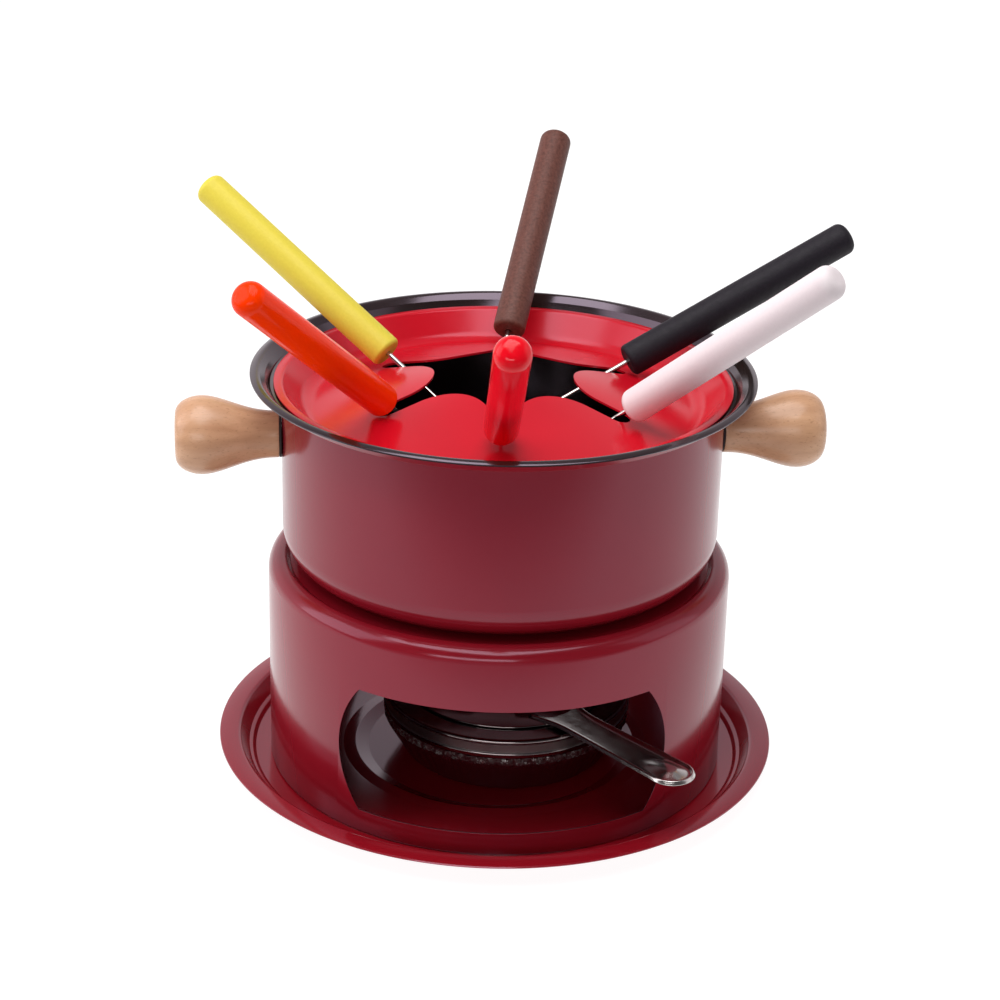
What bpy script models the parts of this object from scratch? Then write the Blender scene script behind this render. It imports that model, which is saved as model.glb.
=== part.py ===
"""Fondue pot set: drip tray, stand, spirit burner, enamelled pot, fork ring and six forks.

Units are metres and +Z is up. The origin is the centre of the drip tray's flat underside.
Round sheet-metal pieces are turned from the middle line of their sheet.
"""
import math

import bmesh
import bpy
from mathutils import Matrix, Vector

MM = 0.001
GAP = 0.3 * MM                      # air left between pieces that touch
TURNS = 44                          # facets around the large round pieces
BURNER_TURNS = 32
ARC_STEP = 2.4 * MM                 # a corner gains one facet for each step of its radius

# Drip tray
TRAY_RIM_R = 109.6 * MM
TRAY_RIM_Z = 9.7 * MM
TRAY_FLOOR_Z = 2.0 * MM             # top of the ring that carries the stand
TRAY_DISC_R = 56.3 * MM             # sunken centre disc that rests on the table
TRAY_SHEET = 1.0 * MM

# Stand
STAND_R = 89.3 * MM
STAND_CREST_Z = 85.7 * MM
STAND_SEAT_Z = 84.2 * MM            # top of the flat ring under the pot
STAND_HOLE_R = 60.0 * MM
STAND_SHEET = 1.0 * MM
STAND_TURN = math.radians(2.5)      # the windows face a little off the front
WINDOW_LOW_Z = 11.2 * MM
WINDOW_HIGH_Z = 61.4 * MM
WINDOW_HALF_TOP = 53.1 * MM         # half width at the flat top and bottom edges
WINDOW_HALF_MID = 60.6 * MM         # half width where the side arcs bulge most

# Pot
POT_R = 83.7 * MM
POT_BASE_Z = STAND_SEAT_Z + GAP
POT_RIM_Z = 160.4 * MM
POT_RIM_R = 95.4 * MM
POT_LEDGE_Z = 155.2 * MM            # top of the ledge that carries the fork ring
POT_LEDGE_R = 87.6 * MM
POT_SHEET = 1.0 * MM

# Fork ring
RING_R = 86.6 * MM
RING_SHEET = 0.8 * MM
RING_WELL_R = 75.0 * MM             # foot of the ring's conical wall
RING_WELL_Z = 144.6 * MM
PETAL_TIP_R = 26.3 * MM
PETAL_TIP_Z = 157.4 * MM
PETAL_NOSE_R = 18.0 * MM            # plan radius of each rounded petal tip
NOTCH_HALF = 4.0 * MM
NOTCH_END_R = 53.8 * MM
PETALS = 6

# Pot knobs
KNOB_TURN = math.radians(5.7)       # the pot stands turned on its stand
KNOB_Z = 134.9 * MM
KNOB_START = POT_R + 1.4 * MM
KNOB_BULB_AT = 113.5 * MM
KNOB_END = 123.6 * MM
KNOB_NECK_R = 8.9 * MM
KNOB_BULB_R = 14.9 * MM
KNOB_END_R = 8.4 * MM
STUD_R = 2.5 * MM
STUD_END = 108.0 * MM

# Burner
BURNER_X = 4.2 * MM
BURNER_R = 48.8 * MM
BURNER_BASE_Z = TRAY_SHEET + GAP
SEAM_Z = 20.2 * MM                  # top of the bowl's crimped rim
COVER_TOP_Z = 27.9 * MM
NECK_R = 15.9 * MM                  # outside of the flame neck
NECK_TOP_Z = 36.0 * MM
BURNER_SHEET = 0.8 * MM
VENTS = 8
VENT_R = 3.2 * MM
VENT_RING_R = 24.5 * MM

# Regulator: a disc over the vents and a lever pressed from the same sheet
DISC_R = 39.5 * MM
DISC_BORE_R = NECK_R + 1.2 * MM
DISC_Z = COVER_TOP_Z + GAP
REGULATOR_SHEET = 0.8 * MM
LEVER_TURN = math.radians(-53.0)
LEVER_START = 30.0 * MM
LEVER_END = 110.0 * MM
LEVER_HALF_ROOT = 7.8 * MM
LEVER_HALF_TIP = 9.1 * MM
LEVER_FLARE_END = 50.0 * MM         # inside of this the lever widens into the disc
LEVER_FLARE = 4.0 * MM
LEVER_EDGE = 2.2 * MM               # height of the raised edge
LEVER_RISE_FROM = 41.0 * MM         # the lever climbs from the disc between these two
LEVER_RISE_TO = 62.0 * MM
LEVER_RISE = 4.7 * MM

# Forks
FORK_HANDLE_R = 6.5 * MM
FORK_HANDLE_LENGTH = 101.0 * MM
FORK_BORE_DEPTH = 30.0 * MM
FORK_WIRE_R = 1.0 * MM
FORK_REACH = 97.5 * MM              # from the handle's lower end to the tips of the tines
TINE_LENGTH = 32.0 * MM
TINE_HALF = 2.7 * MM                # from the fork's middle line to a tine's
TINE_R = 0.9 * MM


def clear_scene():
    for thing in list(bpy.data.objects):
        bpy.data.objects.remove(thing, do_unlink=True)


def material(name, colour, roughness, metallic=0.0):
    made = bpy.data.materials.new(name)
    made.use_nodes = True
    shader = made.node_tree.nodes["Principled BSDF"]
    shader.inputs["Base Color"].default_value = (*colour, 1.0)
    shader.inputs["Roughness"].default_value = roughness
    shader.inputs["Metallic"].default_value = metallic
    return made


def place(name, mesh, surface, at=(0, 0, 0), turn=None, smooth=35):
    mesh.materials.append(surface)
    mesh.shade_smooth()
    mesh.set_sharp_from_angle(angle=math.radians(smooth))
    made = bpy.data.objects.new(name, mesh)
    bpy.context.scene.collection.objects.link(made)
    made.matrix_world = Matrix.Translation(at) @ (turn or Matrix.Identity(4))
    return made


def to_mesh(name, bm):
    bmesh.ops.remove_doubles(bm, verts=bm.verts, dist=1e-7)
    bmesh.ops.recalc_face_normals(bm, faces=bm.faces)
    mesh = bpy.data.meshes.new(name)
    bm.to_mesh(mesh)
    bm.free()
    return mesh


def rounded(corners):
    """A path through (r, z) corners; a third number rounds that corner with an arc."""
    path = []
    for i, corner in enumerate(corners):
        here = Vector(corner[:2])
        if len(corner) == 2 or i in (0, len(corners) - 1):
            path.append(here)
            continue
        back = (Vector(corners[i - 1][:2]) - here).normalized()
        ahead = (Vector(corners[i + 1][:2]) - here).normalized()
        half = back.angle(ahead) / 2
        reach = corner[2] / math.tan(half)
        centre = here + (back + ahead).normalized() * corner[2] / math.sin(half)
        first = here + back * reach - centre
        sweep = first.angle_signed(here + ahead * reach - centre)
        steps = 1 + int(corner[2] / ARC_STEP)
        for k in range(steps + 1):
            path.append(centre + Matrix.Rotation(-sweep * k / steps, 2) @ first)
    return path


def offset(path, distance):
    """The path moved sideways by a distance, to its left."""
    moved = []
    for i, here in enumerate(path):
        before = (here - path[i - 1]).normalized() if i else None
        after = (path[i + 1] - here).normalized() if i < len(path) - 1 else None
        before, after = before or after, after or before
        left = Vector((-before.y - after.y, before.x + after.x))
        left /= 1 + before.dot(after)
        moved.append(here + left * distance)
    return moved


def sheet(path, thickness):
    """The closed outline of a sheet whose middle line is the path."""
    return offset(path, thickness / 2) + offset(path, -thickness / 2)[::-1]


def lathe(name, outline, turns=TURNS):
    """A solid of revolution about Z. An outline that ends on the axis twice stays open there."""
    bm = bmesh.new()
    corners = [bm.verts.new((max(p.x, 0.0), 0.0, p.y)) for p in outline]
    edges = [bm.edges.new(pair) for pair in zip(corners, corners[1:])]
    if outline[0].x > 1e-9 or outline[-1].x > 1e-9:
        edges.append(bm.edges.new((corners[-1], corners[0])))
    bmesh.ops.spin(bm, geom=corners + edges, cent=(0, 0, 0), axis=(0, 0, 1),
                   angle=2 * math.pi, steps=turns, use_merge=True)
    return to_mesh(name, bm)


def turned_sheet(name, corners, thickness, turns=TURNS):
    return lathe(name, sheet(rounded(corners), thickness), turns)


def prism(name, outline, low, high):
    """An upright prism on a plan outline of (x, y) points."""
    bm = bmesh.new()
    face = bm.faces.new([bm.verts.new((x, y, low)) for x, y in outline])
    grown = bmesh.ops.extrude_face_region(bm, geom=[face])
    top = [v for v in grown["geom"] if isinstance(v, bmesh.types.BMVert)]
    bmesh.ops.translate(bm, verts=top, vec=(0, 0, high - low))
    return to_mesh(name, bm)


def circle(centre_x, centre_y, radius, sides):
    angles = [2 * math.pi * k / sides for k in range(sides)]
    return [(centre_x + radius * math.cos(a), centre_y + radius * math.sin(a)) for a in angles]


def cut(target, name, mesh, operation="DIFFERENCE"):
    """Cuts a mesh, in the target's own axes, out of the target, or joins it on."""
    tool = bpy.data.objects.new(name, mesh)
    bpy.context.scene.collection.objects.link(tool)
    tool.matrix_world = target.matrix_world
    tool.hide_render = True
    tool.display_type = "WIRE"
    step = target.modifiers.new(name, "BOOLEAN")
    step.operation = operation
    step.object = tool
    step.solver = "EXACT"


def build_tray(enamel):
    low = TRAY_SHEET / 2
    ring = TRAY_FLOOR_Z - TRAY_SHEET / 2
    flange = TRAY_RIM_Z - TRAY_SHEET / 2
    corners = [(0, low), (TRAY_DISC_R, low, 2 * MM), (TRAY_DISC_R + 4 * MM, ring, 2 * MM),
               (95.6 * MM, ring, 1 * MM), (96.8 * MM, ring + 1.8 * MM, 0.6 * MM),
               (98.2 * MM, ring + 2.0 * MM, 1 * MM), (101.9 * MM, flange, 1.5 * MM),
               (TRAY_RIM_R, flange)]
    place("drip_tray", turned_sheet("drip_tray", corners, TRAY_SHEET), enamel)


def window_outline(steps=6):
    """The barrel-shaped window in elevation: flat top and bottom, sides that bulge in arcs."""
    half_height = (WINDOW_HIGH_Z - WINDOW_LOW_Z) / 2
    middle = (WINDOW_HIGH_Z + WINDOW_LOW_Z) / 2
    bulge = WINDOW_HALF_MID - WINDOW_HALF_TOP
    radius = (half_height ** 2 + bulge ** 2) / (2 * bulge)
    spread = math.asin(half_height / radius)
    centre = WINDOW_HALF_MID - radius
    arc = [(-spread + 2 * spread * k / steps) for k in range(steps + 1)]
    right = [(centre + radius * math.cos(a), middle + radius * math.sin(a)) for a in arc]
    return right + [(-x, z) for x, z in reversed(right)]


def build_stand(enamel):
    wall = STAND_R - STAND_SHEET / 2
    crest = STAND_CREST_Z - STAND_SHEET / 2
    seat = STAND_SEAT_Z - STAND_SHEET / 2
    corners = [(wall, TRAY_FLOOR_Z + GAP), (wall, crest, 5.2 * MM), (83.0 * MM, crest, 1 * MM),
               (81.2 * MM, seat, 1 * MM), (STAND_HOLE_R + 0.5 * MM, seat, 2 * MM),
               (STAND_HOLE_R + 0.5 * MM, seat - 6 * MM)]
    stand = place("stand_shell", turned_sheet("stand_shell", corners, STAND_SHEET), enamel,
                  turn=Matrix.Rotation(STAND_TURN, 4, "Z"))
    reach = STAND_R + 20 * MM
    window = prism("window_cutter", window_outline(), -reach, reach)
    window.transform(Matrix.Rotation(math.radians(90), 4, "X"))
    cut(stand, "window_cutter", window)


def build_pot(enamel):
    wall = POT_R - POT_SHEET / 2
    floor = POT_BASE_Z + POT_SHEET / 2
    ledge = POT_LEDGE_Z - POT_SHEET / 2
    rim = POT_RIM_Z - POT_SHEET
    corners = [(0, floor), (wall, floor, 14 * MM), (wall, ledge, 1.4 * MM),
               (POT_LEDGE_R + POT_SHEET / 2, ledge, 1 * MM),
               (90.1 * MM, rim - 1.7 * MM, 1 * MM), (92.8 * MM, rim + 0.5 * MM, 1.5 * MM),
               (POT_RIM_R, rim + 0.1 * MM)]
    place("pot_body", turned_sheet("pot_body", corners, POT_SHEET), enamel)


def star_outline(arc=4):
    """The ring's opening: six notches with round ends between six petals with round tips."""
    half = math.pi / PETALS
    apex = NOTCH_HALF / math.sin(half)
    nose = (PETAL_TIP_R - apex) / (1 - math.sin(half))
    centre = PETAL_TIP_R + PETAL_NOSE_R
    side = math.cos(half) * PETAL_NOSE_R
    outline = []
    for k in range(PETALS):
        petal = Matrix.Rotation(2 * half * k, 2)
        notch = Matrix.Rotation(2 * half * k + half, 2)
        swing = math.asin(min(1.0, side / PETAL_NOSE_R))
        for step in range(-arc, arc + 1):
            a = math.pi - swing * step / arc
            outline.append(petal @ Vector((centre + PETAL_NOSE_R * math.cos(a),
                                           PETAL_NOSE_R * math.sin(a))))
        for step in range(arc + 1):
            a = -math.pi / 2 + math.pi * step / arc
            outline.append(notch @ Vector((NOTCH_END_R - NOTCH_HALF + NOTCH_HALF * math.cos(a),
                                           NOTCH_HALF * math.sin(a))))
    return [(p.x, p.y) for p in outline]


def build_ring(enamel):
    flange = POT_LEDGE_Z + GAP + RING_SHEET / 2
    slope = (PETAL_TIP_Z - RING_WELL_Z) / (RING_WELL_R - PETAL_TIP_R)
    inner = PETAL_TIP_R - 6 * MM
    corners = [(RING_R, flange), (83.6 * MM, flange, 1.4 * MM),
               (RING_WELL_R, RING_WELL_Z, 1.6 * MM),
               (inner, RING_WELL_Z + slope * (RING_WELL_R - inner))]
    ring = place("fork_ring", turned_sheet("fork_ring", corners, RING_SHEET), enamel)
    cut(ring, "star_cutter", prism("star_cutter", star_outline(), RING_WELL_Z - 20 * MM,
                                   PETAL_TIP_Z + 20 * MM))


def knob_outline(steps=8, end_steps=5):
    """A turned knob along Z: slim neck, bulb, flat end, and a blind bore for the stud."""
    bore = STUD_R + GAP
    side = []
    for k in range(steps + 1):
        u = k / steps
        late = u ** 1.25
        ease = late * late * (3 - 2 * late)
        side.append(Vector((KNOB_NECK_R + (KNOB_BULB_R - KNOB_NECK_R) * ease,
                            KNOB_START + (KNOB_BULB_AT - KNOB_START) * u)))
    for k in range(1, end_steps + 1):
        a = math.pi / 2 * k / end_steps
        side.append(Vector((KNOB_END_R + (KNOB_BULB_R - KNOB_END_R) * math.cos(a),
                            KNOB_BULB_AT + (KNOB_END - KNOB_BULB_AT) * math.sin(a))))
    bore_end = STUD_END + 1 * MM
    return ([Vector((0, bore_end)), Vector((bore, bore_end)), Vector((bore, KNOB_START))]
            + side + [Vector((0, KNOB_END))])


def build_knobs(wood, steel, dark):
    for side, turn in (("left", KNOB_TURN + math.pi), ("right", KNOB_TURN)):
        aim = Matrix.Rotation(turn, 4, "Z") @ Matrix.Rotation(math.radians(90), 4, "Y")
        at = (0, 0, KNOB_Z)
        place("handle_knob_" + side, lathe("handle_knob", knob_outline(), 20), wood, at, aim)
        washer = [Vector((STUD_R + GAP, POT_R + GAP)), Vector((8.6 * MM, POT_R + GAP)),
                  Vector((8.6 * MM, POT_R + 1.1 * MM)), Vector((STUD_R + GAP, POT_R + 1.1 * MM))]
        place("handle_washer_" + side, lathe("handle_washer", washer, 20), dark, at, aim)
        stud = [Vector((0, POT_R + GAP)), Vector((STUD_R, POT_R + GAP)),
                Vector((STUD_R, STUD_END - 0.6 * MM)), Vector((STUD_R - 0.6 * MM, STUD_END)),
                Vector((0, STUD_END))]
        place("handle_stud_" + side, lathe("handle_stud", stud, 10), steel, at, aim)


def cut_vents(target, height):
    for k in range(VENTS):
        angle = 2 * math.pi * (k + 0.5) / VENTS
        spot = circle(VENT_RING_R * math.cos(angle), VENT_RING_R * math.sin(angle), VENT_R, 8)
        cut(target, f"vent_{k}", prism("vent", spot, height - 4 * MM, height + 4 * MM))


def build_burner(enamel, steel, felt, gauze):
    at = (BURNER_X, 0, 0)
    half = BURNER_SHEET / 2
    base = BURNER_BASE_Z + half
    rim = BURNER_R - half
    bowl = [(0, base), (39.5 * MM, base, 5 * MM), (rim, 17 * MM, 3 * MM), (rim, SEAM_Z - GAP)]
    place("burner_bowl", turned_sheet("burner_bowl", bowl, BURNER_SHEET, BURNER_TURNS), enamel, at)

    top = COVER_TOP_Z - half
    neck = NECK_R - half
    cover = [(rim - 1.2 * MM, SEAM_Z - 2.6 * MM), (rim - 1.2 * MM, SEAM_Z + 0.2 * MM),
             (rim, SEAM_Z + 0.8 * MM), (rim, top, 1.2 * MM), (neck, top, 1.2 * MM),
             (neck, NECK_TOP_Z)]
    made = place("burner_cover", turned_sheet("burner_cover", cover, BURNER_SHEET, BURNER_TURNS),
                 steel, at)
    cut_vents(made, top)

    pad = [(0, base + half + GAP), (36.5 * MM, base + half + GAP, 3 * MM),
           (36.5 * MM, 16 * MM, 4 * MM), (0, 17 * MM)]
    place("fuel_pad", lathe("fuel_pad", rounded(pad), 20), felt, at)
    mesh_r = neck - half - GAP
    disc = [Vector((0, NECK_TOP_Z - 2 * MM)), Vector((mesh_r, NECK_TOP_Z - 2 * MM)),
            Vector((mesh_r, NECK_TOP_Z - 1.2 * MM)), Vector((0, NECK_TOP_Z - 1.2 * MM))]
    place("wire_gauze", lathe("wire_gauze", disc, 20), gauze, at)


def lever_half_width(along):
    flare = max(0.0, (LEVER_FLARE_END - along) / (LEVER_FLARE_END - LEVER_START))
    share = (along - LEVER_START) / (LEVER_END - LEVER_START)
    return LEVER_HALF_ROOT + (LEVER_HALF_TIP - LEVER_HALF_ROOT) * share + LEVER_FLARE * flare ** 2


def lever_height(along):
    share = (along - LEVER_RISE_FROM) / (LEVER_RISE_TO - LEVER_RISE_FROM)
    share = min(max(share, 0.0), 1.0)
    return LEVER_RISE * share * share * (3 - 2 * share)


def lever_side(inset, arc=5):
    """One side of the lever in plan, from its root to the middle of its round tip."""
    stations = [30, 36, 41, 45, 50, 54, 58, 62, 80]
    centre = LEVER_END - LEVER_HALF_TIP
    radius = lever_half_width(centre) - inset
    side = [(k * MM, lever_half_width(k * MM) - inset) for k in stations]
    for k in range(arc + 1):
        a = math.pi / 2 * (1 - k / arc)
        side.append((centre + radius * math.cos(a), radius * math.sin(a)))
    return side


def lever_mesh():
    """A pressed channel along +X: a thin floor inside a raised edge, with a round tip."""
    base = DISC_Z + 0.25 * MM
    rings = []
    bm = bmesh.new()
    for inset, level in ((0, 0), (0, LEVER_EDGE), (1.3 * MM, LEVER_EDGE),
                         (1.8 * MM, REGULATOR_SHEET)):
        half = lever_side(inset)
        outline = half + [(x, -y) for x, y in reversed(half[:-1])]
        rings.append([bm.verts.new((x, y, base + level + lever_height(x))) for x, y in outline])
    for one, two in zip(rings, rings[1:]):
        for k in range(len(one) - 1):
            bm.faces.new((one[k], one[k + 1], two[k + 1], two[k]))
    for ring in (rings[0], rings[-1]):
        for k in range(len(ring) // 2):
            corners = [ring[k], ring[k + 1], ring[-k - 2], ring[-k - 1]]
            bm.faces.new(corners if corners[1] != corners[2] else corners[:2] + corners[3:])
    bm.faces.new([ring[0] for ring in rings] + [ring[-1] for ring in reversed(rings)])
    return to_mesh("lever", bm)


def build_regulator(steel):
    outline = [Vector((DISC_BORE_R, DISC_Z)), Vector((DISC_R, DISC_Z)),
               Vector((DISC_R, DISC_Z + REGULATOR_SHEET)),
               Vector((DISC_BORE_R, DISC_Z + REGULATOR_SHEET))]
    made = place("regulator", lathe("regulator", outline, BURNER_TURNS), steel,
                 (BURNER_X, 0, 0), Matrix.Rotation(LEVER_TURN, 4, "Z"))
    cut(made, "lever_pressing", lever_mesh(), "UNION")
    cut_vents(made, DISC_Z)


# Each fork: the handle's lower end (radius and height in mm, angle in degrees), how far the
# handle leans from upright, which way it leans, and how the tines are turned about the shaft.
FORKS = {
    "yellow": (50.5, 152.9, 157.0, 58.5, 149.3, -1.5),
    "orange": (50.5, 210.1, 155.2, 52.0, 236.4, -21.1),
    "black": (54.4, 28.6, 155.1, 64.3, 19.5, -86.4),
    "white": (54.5, 329.6, 156.1, 50.1, 328.9, 33.8),
    "brown": (55.5, 88.6, 156.1, 54.1, 77.1, 58.2),
    "red": (52.4, 269.5, 155.9, 54.2, 272.3, 48.4),
}


def fork_handle_outline():
    """A straight round handle along Z with softened ends and a blind bore for the wire."""
    bore = FORK_WIRE_R + GAP
    outside = rounded([(bore, 0), (FORK_HANDLE_R, 0, 2 * MM),
                       (FORK_HANDLE_R, FORK_HANDLE_LENGTH, 3 * MM), (0, FORK_HANDLE_LENGTH)])
    return [Vector((0, FORK_BORE_DEPTH)), Vector((bore, FORK_BORE_DEPTH))] + outside


def tube(name, path, radii, sides=6):
    """A round wire in the XZ plane through a path of (x, z) points."""
    bm = bmesh.new()
    rings = []
    for i, (x, z) in enumerate(path):
        before, after = path[max(i - 1, 0)], path[min(i + 1, len(path) - 1)]
        along = Vector((after[0] - before[0], 0, after[1] - before[1])).normalized()
        across = Vector((0, 1, 0)).cross(along)
        ring = []
        for k in range(sides):
            a = 2 * math.pi * k / sides
            ring.append(bm.verts.new(Vector((x, 0, z)) + radii[i] * (
                across * math.cos(a) + Vector((0, 1, 0)) * math.sin(a))))
        rings.append(ring)
    for one, two in zip(rings, rings[1:]):
        for k in range(sides):
            bm.faces.new((one[k], one[k - 1], two[k - 1], two[k]))
    bm.faces.new(rings[0])
    bm.faces.new(rings[-1][::-1])
    return to_mesh(name, bm)


def tines_mesh():
    """Two pointed tines joined by a round bend, lying in the XZ plane below the shaft."""
    low = -FORK_REACH
    bend = low + TINE_LENGTH
    arc = [math.pi - math.pi * k / 6 for k in range(7)]
    left = [(-TINE_HALF, low), (-TINE_HALF, low + 5 * MM)]
    top = [(TINE_HALF * math.cos(a), bend + TINE_HALF * math.sin(a)) for a in arc]
    path = left + top + [(-x, z) for x, z in reversed(left)]
    radii = [0.25 * MM] + [TINE_R] * (len(path) - 2) + [0.25 * MM]
    return tube("tines", path, radii)


def build_forks(colours, steel):
    for name, (foot_r, foot_turn, foot_z, lean, lean_turn, tine_turn) in FORKS.items():
        turn = math.radians(foot_turn)
        at = Vector((foot_r * MM * math.cos(turn), foot_r * MM * math.sin(turn), foot_z * MM))
        aim = (Matrix.Rotation(math.radians(lean_turn), 4, "Z")
               @ Matrix.Rotation(math.radians(lean), 4, "Y")
               @ Matrix.Rotation(math.radians(tine_turn), 4, "Z"))
        handle = lathe("fork_handle", fork_handle_outline(), 16)
        place("fork_handle_" + name, handle, colours[name], at, aim)
        bend = -FORK_REACH + TINE_LENGTH + TINE_HALF
        shaft = [Vector((0, bend - 0.5 * MM)), Vector((FORK_WIRE_R, bend - 0.5 * MM)),
                 Vector((FORK_WIRE_R, FORK_BORE_DEPTH - GAP)), Vector((0, FORK_BORE_DEPTH - GAP))]
        made = place("fork_shaft_" + name, lathe("fork_shaft", shaft, 8), steel, at, aim)
        cut(made, "tines_" + name, tines_mesh(), "UNION")


def main():
    clear_scene()
    crimson = material("crimson_enamel", (0.16, 0.008, 0.02), 0.28)
    scarlet = material("scarlet_enamel", (0.5, 0.01, 0.03), 0.25)
    steel = material("stainless_steel", (0.6, 0.58, 0.56), 0.3, 1.0)
    beech = material("beech_wood", (0.6, 0.36, 0.2), 0.55)
    dark = material("dark_washer", (0.03, 0.02, 0.02), 0.5)
    felt = material("fuel_felt", (0.75, 0.73, 0.68), 0.95)
    gauze = material("wire_gauze", (0.4, 0.38, 0.36), 0.5, 1.0)
    colours = {
        "yellow": material("yellow_plastic", (0.72, 0.68, 0.08), 0.4),
        "orange": material("orange_plastic", (1.0, 0.09, 0.0), 0.35),
        "red": material("red_plastic", (0.75, 0.01, 0.02), 0.3),
        "white": material("white_plastic", (0.83, 0.75, 0.78), 0.4),
        "black": material("black_plastic", (0.02, 0.018, 0.022), 0.5),
        "brown": material("brown_plastic", (0.07, 0.025, 0.018), 0.5),
    }
    build_tray(crimson)
    build_stand(crimson)
    build_burner(crimson, steel, felt, gauze)
    build_regulator(steel)
    build_pot(crimson)
    build_knobs(beech, steel, dark)
    build_ring(scarlet)
    build_forks(colours, steel)


main()
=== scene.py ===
"""The fondue pot set's looks: finer round pieces over the CAD frame, their materials, studio and camera.

Metres throughout, +Z up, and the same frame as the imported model.
"""
import math

import bmesh
import bpy
from mathutils import Matrix, Vector, noise


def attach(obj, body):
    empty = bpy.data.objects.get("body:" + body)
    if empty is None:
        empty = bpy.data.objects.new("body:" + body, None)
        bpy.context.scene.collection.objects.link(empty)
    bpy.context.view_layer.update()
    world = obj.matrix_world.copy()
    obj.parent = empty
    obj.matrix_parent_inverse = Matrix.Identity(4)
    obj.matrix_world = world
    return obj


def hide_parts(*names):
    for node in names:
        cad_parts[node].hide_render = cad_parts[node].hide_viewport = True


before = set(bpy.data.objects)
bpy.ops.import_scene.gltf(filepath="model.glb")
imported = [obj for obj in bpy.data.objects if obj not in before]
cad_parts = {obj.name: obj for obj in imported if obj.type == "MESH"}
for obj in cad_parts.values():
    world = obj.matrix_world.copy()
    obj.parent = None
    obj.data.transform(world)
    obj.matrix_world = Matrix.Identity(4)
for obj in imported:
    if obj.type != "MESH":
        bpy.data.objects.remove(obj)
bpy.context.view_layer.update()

MM = 0.001
GAP = 0.3 * MM
TURNS = 256                         # facets around the large round pieces
ARC_STEPS = 7

TRAY_RIM_R, TRAY_RIM_Z, TRAY_FLOOR_Z = 109.6 * MM, 9.7 * MM, 2.0 * MM
TRAY_DISC_R, TRAY_SHEET = 56.3 * MM, 1.0 * MM

STAND_R, STAND_CREST_Z, STAND_SEAT_Z = 89.3 * MM, 85.7 * MM, 84.2 * MM
STAND_HOLE_R, STAND_SHEET = 60.0 * MM, 1.0 * MM
STAND_TURN = math.radians(2.5)
WINDOW_LOW_Z, WINDOW_HIGH_Z = 11.2 * MM, 61.4 * MM
WINDOW_HALF_TOP, WINDOW_HALF_MID = 53.1 * MM, 60.6 * MM

POT_R, POT_BASE_Z, POT_RIM_Z, POT_RIM_R = 83.7 * MM, 84.5 * MM, 160.4 * MM, 95.4 * MM
POT_LEDGE_Z, POT_LEDGE_R, POT_SHEET = 155.2 * MM, 87.6 * MM, 1.0 * MM

RING_R, RING_SHEET, RING_WELL_R, RING_WELL_Z = 86.6 * MM, 0.8 * MM, 75.0 * MM, 144.6 * MM
PETAL_TIP_R, PETAL_TIP_Z, PETAL_NOSE_R, PETALS = 26.3 * MM, 157.4 * MM, 18.0 * MM, 6
NOTCH_HALF, NOTCH_END_R = 4.0 * MM, 53.8 * MM

KNOB_TURN, KNOB_Z = math.radians(5.7), 134.9 * MM
KNOB_START, KNOB_BULB_AT, KNOB_END = 84.6 * MM, 113.5 * MM, 123.5 * MM
KNOB_NECK_R, KNOB_BULB_R, KNOB_END_R = 8.9 * MM, 14.9 * MM, 8.4 * MM

BURNER_X, BURNER_R, BURNER_BASE_Z, BURNER_SHEET = 4.2 * MM, 48.8 * MM, 1.3 * MM, 0.8 * MM
SEAM_Z, COVER_TOP_Z, NECK_R, NECK_TOP_Z = 20.2 * MM, 27.9 * MM, 15.9 * MM, 36.0 * MM
VENTS, VENT_R, VENT_RING_R = 8, 3.2 * MM, 24.5 * MM

DISC_R, DISC_BORE_R, DISC_Z, REGULATOR_SHEET = 39.5 * MM, 17.1 * MM, 28.2 * MM, 0.8 * MM
LEVER_TURN, LEVER_START, LEVER_END = math.radians(-53.0), 30.0 * MM, 110.0 * MM
LEVER_HALF_ROOT, LEVER_HALF_TIP = 7.8 * MM, 9.1 * MM
LEVER_FLARE_END, LEVER_FLARE = 50.0 * MM, 4.0 * MM
LEVER_RISE_FROM, LEVER_RISE_TO, LEVER_RISE = 34.0 * MM, 100.0 * MM, 4.7 * MM

FORK_HANDLE_R, FORK_HANDLE_LENGTH, FORK_BORE_DEPTH = 6.4 * MM, 100.9 * MM, 30.0 * MM
FORK_WIRE_R, FORK_REACH, TINE_LENGTH = 1.0 * MM, 97.5 * MM, 32.0 * MM
TINE_HALF, TINE_R = 2.7 * MM, 0.9 * MM
# Handle's lower end (radius and height in mm, angle), lean, lean's direction, turn of the tines
FORKS = {
    "yellow": (50.5, 152.9, 157.0, 58.5, 149.3, -1.5),
    "orange": (50.5, 210.1, 155.2, 52.0, 236.4, -21.1),
    "black": (54.4, 28.6, 155.1, 64.3, 19.5, -86.4),
    "white": (54.5, 329.6, 156.1, 50.1, 328.9, 33.8),
    "brown": (55.5, 88.6, 156.1, 54.1, 77.1, 58.2),
    "red": (52.4, 269.5, 155.9, 54.2, 272.3, 48.4),
}


# ---------------------------------------------------------------- shapes

def rounded(corners, steps=ARC_STEPS):
    """A path through (r, z) corners; a third number rounds that corner with an arc."""
    path = []
    for i, corner in enumerate(corners):
        here = Vector(corner[:2])
        if len(corner) == 2 or i in (0, len(corners) - 1):
            path.append(here)
            continue
        back = (Vector(corners[i - 1][:2]) - here).normalized()
        ahead = (Vector(corners[i + 1][:2]) - here).normalized()
        half = back.angle(ahead) / 2
        reach = corner[2] / math.tan(half)
        centre = here + (back + ahead).normalized() * corner[2] / math.sin(half)
        first = here + back * reach - centre
        sweep = first.angle_signed(here + ahead * reach - centre)
        for k in range(steps + 1):
            path.append(centre + Matrix.Rotation(-sweep * k / steps, 2) @ first)
    return path


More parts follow.
